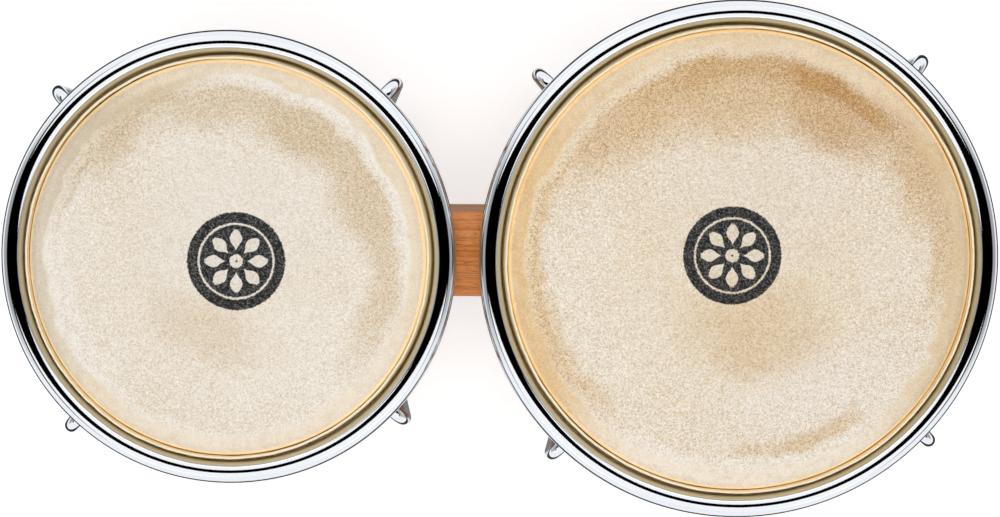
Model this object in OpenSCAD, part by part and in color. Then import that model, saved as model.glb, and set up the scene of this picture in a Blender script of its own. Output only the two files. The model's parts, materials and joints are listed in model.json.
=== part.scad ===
// Bongo drums: two tapered stave shells joined by a wooden block. Each shell carries a
// rawhide head, lapped round a wire hoop, that a chrome rim pulls down with four hooked
// rods and nuts, which pull against the ring under the shell.
//
// Frame: the origin is on the floor under the middle of the pair, +X runs from the small
// drum to the large one and +Z is up. All lengths are in millimetres, angles in degrees.

/* [Pair] */
// Distance between the two drums' axes
axis_spacing = 224; // [219:1:240]
// Height of the wooden shells
shell_h = 160; // [150:1:170]

/* [Small drum] */
// Outer radius of the small drum's rolled rim
macho_rim_r = 100; // [96:0.5:103]
// Outer radius of the small shell at its foot
macho_base_r = 73; // [70:0.5:75]
// Number of staves in the small shell
macho_staves = 12; // [10:1:16]
// Turn of the small drum's hooks from the diagonals
macho_hook_turn = 1.5; // [-5:0.1:5]

/* [Large drum] */
// Outer radius of the large drum's rolled rim
hembra_rim_r = 114.2; // [110:0.1:116]
// Outer radius of the large shell at its foot
hembra_base_r = 87.5; // [84:0.5:89.5]
// Number of staves in the large shell
hembra_staves = 14; // [10:1:18]
// Turn of the large drum's hooks from the diagonals
hembra_hook_turn = 2.3; // [-5:0.1:5]

/* [Shell] */
// Wall thickness at the foot
foot_wall = 12; // [9:0.5:13]
// Wall thickness at the bearing edge
edge_wall = 10; // [8.5:0.5:11]
// Radius of the rounded bearing edge
edge_r = 4; // [3:0.25:4]
// How far the shell's top stands inside the rim's outer radius
shell_inset = 14.1; // [13.6:0.1:14.6]
// Angle of the glue gap between two staves
glue_gap = 0.04; // [0.03:0.01:0.1]

/* [Head] */
// Thickness of the rawhide
skin_t = 1.2; // [0.8:0.1:1.4]
// Radius of the wire hoop inside the lapped hide
hoop_r = 2.9; // [2.5:0.1:3]
// How far the hoop's wire stands inside the rim's outer radius
hoop_inset = 7.75; // [7.5:0.05:8]
// Gap between the collar and the hide's cut flap
flap_gap = 0.5; // [0.3:0.1:0.7]
// How far the flap's cut edge lies below the playing surface
flap_drop = 0.8; // [0.5:0.1:3]

/* [Rim] */
// Thickness of the rim's sheet steel
rim_sheet = 2; // [1.6:0.1:2.2]
// Height of the rim from its crown to its lower edge
rim_h = 20; // [18:0.5:21]
// Outer radius of the rolled edge
roll_r = 5.4; // [5:0.1:6]
// Radius of the crown towards the head
crown_r = 1.8; // [1.5:0.1:2]
// How far round the rolled edge turns below its widest point
roll_turn = 23; // [10:1:30]
// How far the crown lies below the playing surface
rim_drop = 1.2; // [0:0.1:3]

/* [Rods and nuts] */
// Radius of the hooked tuning rods
rod_r = 3.25; // [3:0.05:3.4]
// How far the rods lean in towards the foot
rod_tilt = 8.5; // [7.5:0.1:9]
// Centre-line radius of the hook's bend
bend_r = 7; // [6.5:0.1:8]
// How far the rod's axis stands outside the rim at its widest
rod_reach = 5.4; // [5:0.1:6.5]
// Depth of the hook's level arm below the rim's crown
arm_drop = 11.5; // [11.5:0.1:12]
// Height of a rod's lower end above the floor
rod_end_z = 8; // [6:0.5:9]
// Width across the flats of the tuning nuts
nut_flats = 11; // [10:0.5:12]
// Height of the tuning nuts
nut_h = 8; // [6:0.5:9]

/* [Bottom ring] */
// Thickness of the ring's sheet steel
ring_sheet = 2; // [1.6:0.1:2.4]
// Height of the ring
ring_h = 30; // [29:1:36]
// Width of the lip that turns in under the shell
lip_w = 6; // [4:0.5:9]
// Thickness of the ears that the rods pass through
ear_t = 3.5; // [3:0.1:4.5]
// Radius of an ear's round end
ear_r = 7.5; // [7:0.5:8]
// Height at which a rod leaves the underside of its ear
ear_z = 21.5; // [20:0.5:22]

/* [Centre block] */
// Width of the block from front to back
block_w = 38.8; // [34:0.2:44]
// Height of the block's underside
block_low = 52; // [46:1:58]
// Height of the block's top
block_high = 128; // [120:1:128]
// Radius along the block's long edges
block_edge_r = 4; // [2:0.5:6]
// Radius of the mounting bolts
bolt_r = 4; // [3.5:0.1:4]
// Heights of the two bolts in each shell
bolt_heights = [68, 112];

/* [Hidden] */
$fn = 96;
HOOKS = 4;
HOOK_NUMBERS = [1 : HOOKS];

// One drum: [axis x, rim radius, foot radius, staves, hook turn, direction of the block]
overall_x = axis_spacing + macho_rim_r + hembra_rim_r;
MACHO = [macho_rim_r - overall_x / 2, macho_rim_r, macho_base_r, macho_staves, macho_hook_turn, 0];
HEMBRA = [overall_x / 2 - hembra_rim_r, hembra_rim_r, hembra_base_r, hembra_staves, hembra_hook_turn, 180];
function axis_x(drum) = drum[0];
function rim_r(drum) = drum[1];
function foot_r(drum) = drum[2];
function stave_count(drum) = drum[3];
function hook_angle(drum, number) = drum[4] + 45 + (number - 1) * 360 / HOOKS;
function block_side(drum) = drum[5];

// Levels
fit_gap = 0.1;       // between parts that are pressed or glued together
seat_gap = 0.05;     // between the bearing edge and the skin on it
weld_gap = 0.02;     // between the ring and its ears
foot_z = ring_sheet; // the shell stands on the ring's lip
skin_under_z = foot_z + shell_h;
skin_top_z = skin_under_z + skin_t;
edge_z = skin_under_z - edge_r; // the centre of the bearing edge's round
rim_top_z = skin_top_z - rim_drop;
rim_low_z = rim_top_z - rim_h;

// Shell: the outer and inner faces are cones from the foot to the bearing edge
bevel = 45;
shell_edge_r = edge_r - seat_gap;
function edge_x(drum) = rim_r(drum) - shell_inset - edge_r;
function top_r(drum) = edge_x(drum) + shell_edge_r;
function outer_slope(drum) = (top_r(drum) - foot_r(drum)) / (edge_z - foot_z);
function outer_r(drum, z) = foot_r(drum) + outer_slope(drum) * (z - foot_z);
function bevel_top(drum) = [edge_x(drum), edge_z] + shell_edge_r * [-sin(bevel), cos(bevel)];
function bevel_foot(drum) = let (run = bevel_top(drum)[0] - (top_r(drum) - edge_wall))
    bevel_top(drum) - run * [1, tan(bevel)];
function inner_slope(drum) =
    (bevel_foot(drum)[0] - foot_r(drum) + foot_wall) / (bevel_foot(drum)[1] - foot_z);
function inner_r(drum, z) = foot_r(drum) - foot_wall + inner_slope(drum) * (z - foot_z);

// Head: the collar is the straight tangent from the bearing edge to the lapped hoop
hoop_press = 0.06; // how far the hoop presses into the collar
hoop_seat_r = hoop_r + fit_gap;
wrap_r = hoop_seat_r + skin_t;
function hoop_centre(drum) = [rim_r(drum) - hoop_inset, rim_low_z - fit_gap - wrap_r];
function edge_centre(drum) = [edge_x(drum), edge_z];
function collar_lean(drum) = let (run = hoop_centre(drum) - edge_centre(drum))
    acos((edge_r + wrap_r - hoop_press) / norm(run)) - atan2(-run[1], run[0]);

// Rods, in the upright plane of a hook: [distance from the drum's axis, height]
arm_z = rim_top_z - arm_drop;
leg_r = rod_r - 0.01; // the straight leg, drawn down a hair thinner than the bend
bend_lap = 0.2;       // how far the leg runs into the bend
boss_r = 5.5;
boss_len = 2.6;
boss_hole_r = rod_r + 0.15;
ear_hole_r = leg_r + 0.1;
nut_bore_r = leg_r + 0.05;
washer_r = 6.5;
washer_t = 1.2;
function bend_centre(drum) = [rim_r(drum) + rod_reach - bend_r, arm_z - bend_r];
function bend_end(drum) = bend_centre(drum) + bend_r * [cos(rod_tilt), -sin(rod_tilt)];
function along_rod(drum, z) = (bend_end(drum)[1] - z) / cos(rod_tilt);
function rod_x(drum, z) = bend_end(drum)[0] - (bend_end(drum)[1] - z) * tan(rod_tilt);

// Centre block and its fasteners
block_run = 60; // how far the uncut block reaches to each side of its middle
hole_slack = 0.4;
bolt_flats = 13;
bolt_head_h = 5.3;
lock_washer_r = 7;
lock_washer_t = 2;
washer_sink = 0.9; // a flat washer on the hollow plate touches it at its edge first
plate_t = 2.5;
plate_angle = 22;
plate_over = 17; // how far the plate reaches past the bolts
insert_r = 6;
insert_len = 18;
insert_sink = 0.5;
bolt_grip = 16; // how far a bolt reaches into the block
function hex_r(flats) = flats / 2 / cos(30);

DRUM_PARTS = [
    "shell_staves", "bottom_ring", "ring_ears", "skin", "flesh_hoop", "rim", "washers",
    "backing_plate", "mounting_bolts", "lock_washers", "block_inserts",
    for (n = HOOK_NUMBERS) str("rod_", n),
    for (n = HOOK_NUMBERS) str("nut_", n),
];

WOOD = [0.72, 0.42, 0.22];
HIDE = [0.91, 0.85, 0.74];
CHROME = [0.82, 0.84, 0.86];
STEEL = [0.62, 0.63, 0.65];
BRASS = [0.78, 0.62, 0.30];

// ---- Placing ----

module on_axis(drum) {
    translate([axis_x(drum), 0, 0]) children();
}

// Turns a drum's own +X towards the centre block
module towards_block(drum) {
    on_axis(drum) rotate([0, 0, block_side(drum)]) children();
}

// Stands children in a hook's upright plane, with +X outwards
module at_hook(drum, number) {
    on_axis(drum) rotate([0, 0, hook_angle(drum, number)]) children();
}

// Puts children on a rod's axis, a given way down from the bend, with +Z up the rod
module on_rod(drum, number, way) {
    at_hook(drum, number)
        translate([bend_end(drum)[0], 0, bend_end(drum)[1]])
            rotate([0, rod_tilt, 0])
                translate([0, 0, -way]) children();
}

// Points children's +Z along +X
module lying() {
    rotate([0, 90, 0]) children();
}

// ---- Shell ----

module shell_profile(drum) {
    polygon([
        [foot_r(drum), foot_z],
        [top_r(drum), edge_z],
        bevel_top(drum),
        bevel_foot(drum),
        [foot_r(drum) - foot_wall, foot_z],
    ]);
    translate(edge_centre(drum)) circle(shell_edge_r);
}

module bolt_holes(drum) {
    for (z = bolt_heights)
        translate([inner_r(drum, z) - foot_wall, 0, z])
            lying() cylinder(h = 3 * foot_wall, r = bolt_r + hole_slack);
}

module shell_staves(drum) {
    pitch = 360 / stave_count(drum);
    sweep = pitch - glue_gap;
    color(WOOD) towards_block(drum)
        for (i = [0 : stave_count(drum) - 1])
            difference() {
                rotate([0, 0, i * pitch])
                    rotate_extrude(angle = sweep, start = -sweep / 2) shell_profile(drum);
                if (i == 0) bolt_holes(drum);
            }
}

// ---- Bottom ring ----

module ring_profile(drum) {
    inside = [for (z = [foot_z, ring_h]) outer_r(drum, z) + fit_gap];
    translate([foot_r(drum) - lip_w, 0]) square([inside[0] - foot_r(drum) + lip_w, ring_sheet]);
    translate([inside[0], foot_z])
        intersection() {
            circle(ring_sheet);
            translate([0, -ring_sheet]) square(ring_sheet);
        }
    polygon([
        [inside[0], foot_z],
        [inside[0] + ring_sheet, foot_z],
        [inside[1] + ring_sheet, ring_h],
        [inside[1], ring_h],
    ]);
    bead_r = 0.9 * ring_sheet;
    translate([inside[1] + bead_r, ring_h]) circle(bead_r);
}

module bottom_ring(drum) {
    color(CHROME) on_axis(drum) rotate_extrude() ring_profile(drum);
}

// An ear stands square to its rod and widens towards the ring that it is welded to
module ear(drum) {
    reach = rod_x(drum, ear_z) - outer_r(drum, ear_z);
    root = 1.5 * ear_r;
    difference() {
        linear_extrude(ear_t) {
            circle(ear_r);
            polygon([[0, ear_r], [-reach, root], [-reach, -root], [0, -ear_r]]);
        }
        translate([0, 0, -1]) cylinder(h = ear_t + 2, r = ear_hole_r);
    }
}

module ring_ears(drum) {
    face = fit_gap + ring_sheet + weld_gap; // from the shell to the ears
    top = 2 * ring_h;
    color(CHROME)
        difference() {
            for (n = HOOK_NUMBERS) on_rod(drum, n, along_rod(drum, ear_z)) ear(drum);
            on_axis(drum) cylinder(h = top, r1 = outer_r(drum, 0) + face, r2 = outer_r(drum, top) + face);
        }
}

// ---- Head ----

// A strip along the collar: from and to are distances from the bearing edge's centre
module collar_strip(drum, from, to, high) {
    lean = collar_lean(drum);
    out = [cos(lean), sin(lean)];
    up = [-sin(lean), cos(lean)];
    centre = edge_centre(drum);
    low = up * (hoop_centre(drum) - centre);
    polygon([
        centre + from * out + low * up,
        centre + to * out + low * up,
        centre + to * out + high * up,
        centre + from * out + high * up,
    ]);
}

// The hide's rounded part over the bearing edge
module edge_bend(drum) {
    reach = 2 * (edge_r + skin_t);
    translate(edge_centre(drum))
        intersection() {
            difference() {
                circle(edge_r + skin_t);
                circle(edge_r);
            }
            polygon([[0, 0], [reach, reach * tan(collar_lean(drum))], [reach, reach], [0, reach]]);
        }
}

module skin_profile(drum) {
    outside = edge_r + skin_t;
    difference() {
        union() {
            translate([0, skin_under_z]) square([edge_x(drum), skin_t]);
            edge_bend(drum);
            collar_strip(drum, edge_r, outside, 0);
            translate(hoop_centre(drum)) circle(wrap_r);
            intersection() {
                collar_strip(drum, outside + flap_gap, outside + flap_gap + skin_t, 2 * edge_r);
                square([rim_r(drum), skin_top_z - flap_drop]);
            }
        }
        collar_strip(drum, outside, outside + flap_gap, 2 * edge_r);
        translate(hoop_centre(drum)) circle(hoop_seat_r);
    }
}

module skin(drum) {
    color(HIDE) on_axis(drum) rotate_extrude() skin_profile(drum);
}

module flesh_hoop(drum) {
    color(STEEL) on_axis(drum) rotate_extrude() translate(hoop_centre(drum)) circle(hoop_r);
}

// ---- Rim ----

module rim_profile(drum) {
    crown_x = rim_r(drum) - roll_r;
    translate([crown_x - crown_r, rim_low_z]) square([rim_sheet, rim_h - crown_r]);
    translate([crown_x, rim_top_z - crown_r])
        intersection() {
            circle(crown_r);
            translate([-crown_r, 0]) square(crown_r);
        }
    reach = 2 * roll_r;
    translate([crown_x, rim_top_z - roll_r])
        intersection() {
            difference() {
                circle(roll_r);
                circle(roll_r - rim_sheet);
            }
            polygon([[0, 0], [reach, -reach * tan(roll_turn)], [reach, reach], [0, reach]]);
        }
}

module rim(drum) {
    band_x = rim_r(drum) - roll_r - crown_r;
    color(CHROME)
        difference() {
            union() {
                on_axis(drum) rotate_extrude() rim_profile(drum);
                for (n = HOOK_NUMBERS)
                    at_hook(drum, n) translate([band_x + rim_sheet / 2, 0, arm_z])
                        lying() cylinder(h = rim_sheet / 2 + boss_len, r = boss_r);
            }
            for (n = HOOK_NUMBERS)
                at_hook(drum, n) translate([band_x - 1, 0, arm_z])
                    lying() cylinder(h = rim_sheet + boss_len + 2, r = boss_hole_r);
        }
}

// ---- Rods, nuts and washers ----

module rod(drum, number) {
    centre = bend_centre(drum);
    arm_x = rim_r(drum) - roll_r - crown_r + 0.2; // just inside the rim's wall
    leg = along_rod(drum, rod_end_z);
    color(CHROME) {
        at_hook(drum, number) {
            translate([arm_x, 0, arm_z]) lying() cylinder(h = centre[0] - arm_x, r = rod_r);
            translate([centre[0], 0, centre[1]])
                rotate([90, 0, 0])
                    rotate_extrude(angle = 90 + rod_tilt, start = -rod_tilt)
                        translate([bend_r, 0]) circle(rod_r);
        }
        on_rod(drum, number, leg) cylinder(h = leg + bend_lap, r = leg_r);
    }
}

module nut(drum, number) {
    color(CHROME)
        on_rod(drum, number, along_rod(drum, ear_z) + washer_t + nut_h)
            difference() {
                cylinder(h = nut_h, r = hex_r(nut_flats), $fn = 6);
                translate([0, 0, -1]) cylinder(h = nut_h + 2, r = nut_bore_r);
            }
}

module washers(drum) {
    color(STEEL)
        for (n = HOOK_NUMBERS)
            on_rod(drum, n, along_rod(drum, ear_z) + washer_t)
                difference() {
                    cylinder(h = washer_t, r = washer_r);
                    translate([0, 0, -1]) cylinder(h = washer_t + 2, r = ear_hole_r);
                }
}

// ---- Centre block and its fasteners ----

module block_section() {
    size = [block_high - block_low, block_w];
    inset = [block_edge_r, block_edge_r];
    translate([-block_high, -block_w / 2]) {
        translate([block_edge_r, 0]) square([size[0] - 2 * block_edge_r, size[1]]);
        translate([0, block_edge_r]) square([size[0], size[1] - 2 * block_edge_r]);
        for (u = [0, 1], v = [0, 1])
            translate([inset[0] + u * (size[0] - 2 * inset[0]), inset[1] + v * (size[1] - 2 * inset[1])])
                circle(block_edge_r);
    }
}

module center_block() {
    middle = (axis_x(MACHO) + top_r(MACHO) + axis_x(HEMBRA) - top_r(HEMBRA)) / 2;
    color(WOOD)
        difference() {
            translate([middle - block_run, 0, 0]) lying() linear_extrude(2 * block_run) block_section();
            for (drum = [MACHO, HEMBRA]) {
                on_axis(drum) translate([0, 0, block_low - 1])
                    cylinder(
                        h = block_high - block_low + 2,
                        r1 = outer_r(drum, block_low - 1) + fit_gap,
                        r2 = outer_r(drum, block_high + 1) + fit_gap
                    );
                towards_block(drum) for (z = bolt_heights)
                    translate([outer_r(drum, z) - 1, 0, z])
                        lying() cylinder(h = 2 + insert_sink + insert_len, r = insert_r + seat_gap);
            }
        }
}

// A curved plate inside the shell, behind the bolts' heads
module backing_plate(drum) {
    low = min(bolt_heights) - plate_over;
    high = max(bolt_heights) + plate_over;
    back = [for (z = [low, high]) inner_r(drum, z) - fit_gap];
    color(STEEL) towards_block(drum)
        difference() {
            rotate_extrude(angle = plate_angle, start = -plate_angle / 2)
                polygon([
                    [back[0] - plate_t, low],
                    [back[0], low],
                    [back[1], high],
                    [back[1] - plate_t, high],
                ]);
            bolt_holes(drum);
        }
}

// Where the lock washer's inner face and the bolt's head meet, from the drum's axis
function head_seat(drum, z) = inner_r(drum, z) - fit_gap - plate_t - washer_sink - lock_washer_t;

module lock_washers(drum) {
    color(STEEL) towards_block(drum)
        for (z = bolt_heights)
            translate([head_seat(drum, z), 0, z])
                lying() difference() {
                    cylinder(h = lock_washer_t, r = lock_washer_r);
                    translate([0, 0, -1]) cylinder(h = lock_washer_t + 2, r = bolt_r + hole_slack);
                }
}

module mounting_bolts(drum) {
    color(STEEL) towards_block(drum)
        for (z = bolt_heights) {
            seat = head_seat(drum, z);
            translate([seat - bolt_head_h, 0, z])
                lying() cylinder(h = bolt_head_h, r = hex_r(bolt_flats), $fn = 6);
            translate([seat, 0, z])
                lying() cylinder(h = outer_r(drum, z) + bolt_grip - seat, r = bolt_r);
        }
}

module block_inserts(drum) {
    color(BRASS) towards_block(drum)
        for (z = bolt_heights)
            translate([outer_r(drum, z) + insert_sink, 0, z])
                lying() difference() {
                    cylinder(h = insert_len, r = insert_r);
                    translate([0, 0, -1]) cylinder(h = insert_len + 2, r = bolt_r + seat_gap);
                }
}

// ---- Assembly ----

center_block();

shell_staves(MACHO);  // macho_shell_staves
bottom_ring(MACHO);  // macho_bottom_ring
ring_ears(MACHO);  // macho_ring_ears
skin(MACHO);  // macho_skin
flesh_hoop(MACHO);  // macho_flesh_hoop
rim(MACHO);  // macho_rim
washers(MACHO);  // macho_washers
backing_plate(MACHO);  // macho_backing_plate
mounting_bolts(MACHO);  // macho_mounting_bolts
lock_washers(MACHO);  // macho_lock_washers
block_inserts(MACHO);  // macho_block_inserts
for (n = HOOK_NUMBERS) {
    rod(MACHO, n);
    nut(MACHO, n);
}

shell_staves(HEMBRA);  // hembra_shell_staves
bottom_ring(HEMBRA);  // hembra_bottom_ring
ring_ears(HEMBRA);  // hembra_ring_ears
skin(HEMBRA);  // hembra_skin
flesh_hoop(HEMBRA);  // hembra_flesh_hoop
rim(HEMBRA);  // hembra_rim
washers(HEMBRA);  // hembra_washers
backing_plate(HEMBRA);  // hembra_backing_plate
mounting_bolts(HEMBRA);  // hembra_mounting_bolts
lock_washers(HEMBRA);  // hembra_lock_washers
block_inserts(HEMBRA);  // hembra_block_inserts
for (n = HOOK_NUMBERS) {
    rod(HEMBRA, n);
    nut(HEMBRA, n);
}
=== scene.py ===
import json
from math import acos, asin, atan2, cos, degrees, hypot, pi, radians, sin, sqrt, tan

import bmesh
import bpy
import numpy as np
from mathutils import Matrix, Vector


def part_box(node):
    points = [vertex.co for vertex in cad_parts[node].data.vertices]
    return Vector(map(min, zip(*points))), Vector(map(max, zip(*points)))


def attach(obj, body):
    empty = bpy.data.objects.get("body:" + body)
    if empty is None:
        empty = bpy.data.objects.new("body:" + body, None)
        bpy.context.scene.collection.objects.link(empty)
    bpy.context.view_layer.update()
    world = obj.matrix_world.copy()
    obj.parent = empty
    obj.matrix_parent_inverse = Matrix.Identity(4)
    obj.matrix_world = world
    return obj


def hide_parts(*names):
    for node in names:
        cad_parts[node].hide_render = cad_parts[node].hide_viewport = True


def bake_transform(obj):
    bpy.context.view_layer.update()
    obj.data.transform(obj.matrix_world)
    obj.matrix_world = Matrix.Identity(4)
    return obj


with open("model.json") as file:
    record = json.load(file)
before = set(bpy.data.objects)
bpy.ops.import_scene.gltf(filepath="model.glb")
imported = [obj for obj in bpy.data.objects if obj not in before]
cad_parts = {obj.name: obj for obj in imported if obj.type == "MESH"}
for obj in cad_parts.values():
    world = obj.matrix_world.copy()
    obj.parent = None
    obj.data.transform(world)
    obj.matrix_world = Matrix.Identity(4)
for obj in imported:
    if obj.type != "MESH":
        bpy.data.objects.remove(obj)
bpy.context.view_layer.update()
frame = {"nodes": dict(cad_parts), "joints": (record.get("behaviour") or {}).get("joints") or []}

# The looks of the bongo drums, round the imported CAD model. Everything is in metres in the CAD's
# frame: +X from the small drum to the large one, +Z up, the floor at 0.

SCENE = bpy.context.scene
MM = 0.001
ON_AXIS = 1e-6  # a radius that stands for the axis itself
WELD_DIST, SLIVER = 1e-7, 1e-8  # closer points join, thinner faces go

# ---- Sizes that the CAD model also has ----

SKIN_T = 1.2 * MM
EDGE_R = 4 * MM  # the bearing edge's round
SEAT_GAP = 0.05 * MM  # between the skin and the shell
FIT_GAP = 0.1 * MM  # between other pieces that touch
FLAP_GAP = 0.5 * MM  # between the collar and the flap
FLAP_DROP = 0.1 * MM  # from the head's top down to the flap's cut edge
EDGE_WALL = 10 * MM  # the shell's wall at the bearing edge
RIM_SHEET = 2 * MM
ROLL_R = 5.4 * MM  # the rim's outer roll
CROWN_R = 4.4 * MM  # the rim's inner shoulder
SKIRT_FLARE = 2.5 * MM  # how much wider the rim's band gets from the crown down
ROLL_TURN = -23  # where the roll's sheet ends, in degrees
BOSS_R = 5.5 * MM
BOSS_LEN = 2.6 * MM
BOSS_FILLET = 1.4 * MM
BOSS_HOLE_R = 3.4 * MM
ROD_R = 3.24 * MM
BEND_R = 7 * MM
ARM_IN = 7 * MM  # from the rim's outer edge in to the arm's end
THREAD_PITCH = 1 * MM
THREAD_LEN = 42 * MM
THREAD_DEPTH = 0.5 * MM
ROD_CHAMFER = 0.9 * MM
NUT_FLATS = 11 * MM
NUT_H = 8 * MM
NUT_BORE_R = 3.29 * MM
WASHER_R = 6.5 * MM
WASHER_T = 1.2 * MM
RING_SHEET = 2 * MM
LIP_W = 6 * MM
EAR_R = 7.5 * MM
EAR_T = 3.5 * MM
EAR_ROOT = 13.5 * MM  # half the ear's width at the ring
BLOCK_EDGE_R = 4 * MM
BOLT_R = 4 * MM
BOLT_FLATS = 13 * MM
BOLT_HEAD_H = 5.3 * MM
LOCK_WASHER_T = 2 * MM
LOCK_WASHER_R = 7 * MM


def shift(x, y, z):
    return Matrix.Translation((x, y, z))


def spin(angle, axis):
    return Matrix.Rotation(angle, 4, axis)


def node_points(node):
    """A CAD node's vertices, one row each."""
    return np.array([v.co for v in frame["nodes"][node].data.vertices], float)


class Drum:
    """One drum's places and sizes, read from its CAD nodes."""

    def __init__(self, name, block_side):
        self.name, self.block_side = name, block_side
        rim_low, rim_high = self.box("rim")
        hoop_low, hoop_high = self.box("flesh_hoop")
        self.x = (rim_low.x + rim_high.x) / 2
        self.rim_r = (rim_high.x - rim_low.x) / 2
        self.rim_top, self.rim_low = rim_high.z, rim_low.z
        self.skin_top = self.box("skin")[1].z
        self.hoop_r = (hoop_high.z - hoop_low.z) / 2
        hoop_reach = (hoop_high.x - hoop_low.x) / 2
        self.hoop = (hoop_reach - self.hoop_r, (hoop_low.z + hoop_high.z) / 2)
        points = node_points(self.node("shell_staves"))
        reach, height = np.hypot(points[:, 0] - self.x, points[:, 1]), points[:, 2]
        self.foot_z = height.min()
        at_foot = reach[height < self.foot_z + 0.1 * MM]
        self.foot_r, self.foot_in = at_foot.max(), at_foot.min()
        self.edge_x = reach.max() - EDGE_R + SEAT_GAP
        self.edge_z = self.skin_top - SKIN_T - EDGE_R
        self.ring_top = self.box("bottom_ring")[1].z
        self.hooks = [Hook(self, n) for n in range(1, 5)]

    def node(self, part):
        """The name of one of the drum's CAD nodes."""
        return f"{self.name}_{part}"

    def box(self, part):
        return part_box(self.node(part))

    @property
    def tension_body(self):
        return f"{self.name}_tension_ring"

    @property
    def hide_r(self):
        """Where the head turns down over the bearing edge."""
        return self.edge_x + EDGE_R

    def outer_r(self, z):
        """The shell's outer radius at a height."""
        top_r = self.edge_x + EDGE_R - SEAT_GAP
        return self.foot_r + (top_r - self.foot_r) * (z - self.foot_z) / (self.edge_z - self.foot_z)

    def upright(self):
        """Puts a piece made on the Z axis on the drum's axis."""
        return shift(self.x, 0, 0)

    def to_block(self):
        """The same, with the piece's +X turned to the centre block."""
        return self.upright() @ spin(radians(self.block_side), "Z")


class Hook:
    """One hook rod's line, read from its nut's joint and its CAD box."""

    def __init__(self, drum, number):
        self.drum = drum
        self.nut, self.rod = drum.node(f"nut_{number}"), drum.node(f"rod_{number}")
        joint = next(j for j in frame["joints"] if j["child"] == self.nut)
        self.axis, self.foot = Vector(joint["axis"]), Vector(joint["pos_m"])
        self.turn = atan2(self.axis.y, self.axis.x)
        self.tilt = acos(self.axis.z)
        low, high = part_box(self.rod)
        self.arm_z = high.z - ROD_R
        self.end_z = low.z + ROD_R * sin(self.tilt)
        self.foot_x = hypot(self.foot.x - drum.x, self.foot.y)
        # The bend's centre is BEND_R inside the leg's line
        across = self.foot_x * cos(self.tilt) - self.foot.z * sin(self.tilt) - BEND_R
        self.bend_z = self.arm_z - BEND_R
        self.bend_x = (across + self.bend_z * sin(self.tilt)) / cos(self.tilt)

    def plane(self):
        """Stands a piece in the hook's upright plane, with +X outwards from the drum's axis."""
        return self.drum.upright() @ spin(self.turn, "Z")

    def on_rod(self, way):
        """Puts a piece on the rod's axis, a given way below the ear, with +Z up the rod."""
        foot = self.plane() @ shift(self.foot_x, 0, self.foot.z)
        return foot @ spin(self.tilt, "Y") @ shift(0, 0, -way)


MACHO, HEMBRA = Drum("macho", 0), Drum("hembra", 180)
DRUMS = (MACHO, HEMBRA)

# ---- Mesh making ----


def arc(centre, radius, start, end, steps):
    """Points along an arc, with its angles in degrees."""
    angles = np.radians(np.linspace(start, end, steps + 1))
    return [(centre[0] + radius * cos(a), centre[1] + radius * sin(a)) for a in angles]


def ripple(angles, waves, seed):
    """A wandering value along a circle, from about -1 to 1, that closes on itself."""
    random = np.random.default_rng(seed)
    value = 0
    for n in waves:
        phase = random.uniform(0, 2 * pi)
        value = value + np.sin(n * angles + phase) * random.uniform(0.5, 1)
    return value / sqrt(len(waves))


class Shape:
    """Vertices and faces that grow piece by piece, and then become one object."""

    def __init__(self):
        self.points, self.faces, self.marks = [], [], []

    def add(self, points, faces, matrix=None, mark=0.0):
        start = len(self.points)
        matrix = matrix or Matrix.Identity(4)
        self.points += [matrix @ Vector(p) for p in points]
        self.faces += [[start + i for i in face] for face in faces]
        self.marks += [mark] * len(points)
        return self

    def grid(self, rows, matrix=None, around=True, closed=False, mark=0.0):
        """Rows of points joined by quads. around joins each row's ends, closed the last row to the first.
        Rows that go round but don't close are capped."""
        rows = np.asarray(rows, float)
        count, width = rows.shape[:2]
        last_row, last = (count if closed else count - 1), (width if around else width - 1)
        faces = [
            (i * width + j, i * width + (j + 1) % width,
             (i + 1) % count * width + (j + 1) % width, (i + 1) % count * width + j)
            for i in range(last_row) for j in range(last)
        ]
        if around and not closed:
            faces += [tuple(range(width))[::-1], tuple((count - 1) * width + j for j in range(width))]
        return self.add(rows.reshape(-1, 3), faces, matrix, mark)

    def lathe(self, outline, segments, matrix=None, move=None, sweep=None, mark=0.0):
        """A closed outline of (radius, height) turned about Z, all the way or over a sweep in radians.
        move(rows, angles) may shift the points first."""
        full = sweep is None
        low, high = sweep or (0, 2 * pi)
        angles = np.linspace(low, high, segments if full else segments + 1, endpoint=not full)
        outline = np.asarray(outline, float)
        rows = np.stack([
            outline[None, :, 0] * np.cos(angles)[:, None],
            outline[None, :, 0] * np.sin(angles)[:, None],
            np.repeat(outline[None, :, 1], len(angles), axis=0),
        ], axis=2)
        if move:
            rows = move(rows, angles)
        return self.grid(rows, matrix, around=True, closed=full, mark=mark)

    def object(self, name, material, sharp=35, bevel=None):
        """Makes the object. Edges that turn by more than sharp degrees look sharp."""
        mesh = bpy.data.meshes.new(name)
        mesh.from_pydata(self.points, [], self.faces)
        mesh.attributes.new("mark", "FLOAT", "POINT").data.foreach_set("value", self.marks)
        work = bmesh.new()
        work.from_mesh(mesh)
        bmesh.ops.remove_doubles(work, verts=work.verts, dist=WELD_DIST)
        bmesh.ops.dissolve_degenerate(work, edges=work.edges, dist=SLIVER)
        bmesh.ops.recalc_face_normals(work, faces=work.faces)
        work.to_mesh(mesh)
        work.free()
        mesh.shade_smooth()
        mesh.set_sharp_from_angle(angle=radians(sharp))
        mesh.materials.append(material)
        piece = bpy.data.objects.new(name, mesh)
        SCENE.collection.objects.link(piece)
        if bevel:
            cut = piece.modifiers.new("edges", "BEVEL")
            cut.width, cut.segments, cut.limit_method = bevel, 3, "ANGLE"
            cut.angle_limit = radians(sharp)
            apply_modifiers(piece)
        return piece


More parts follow.
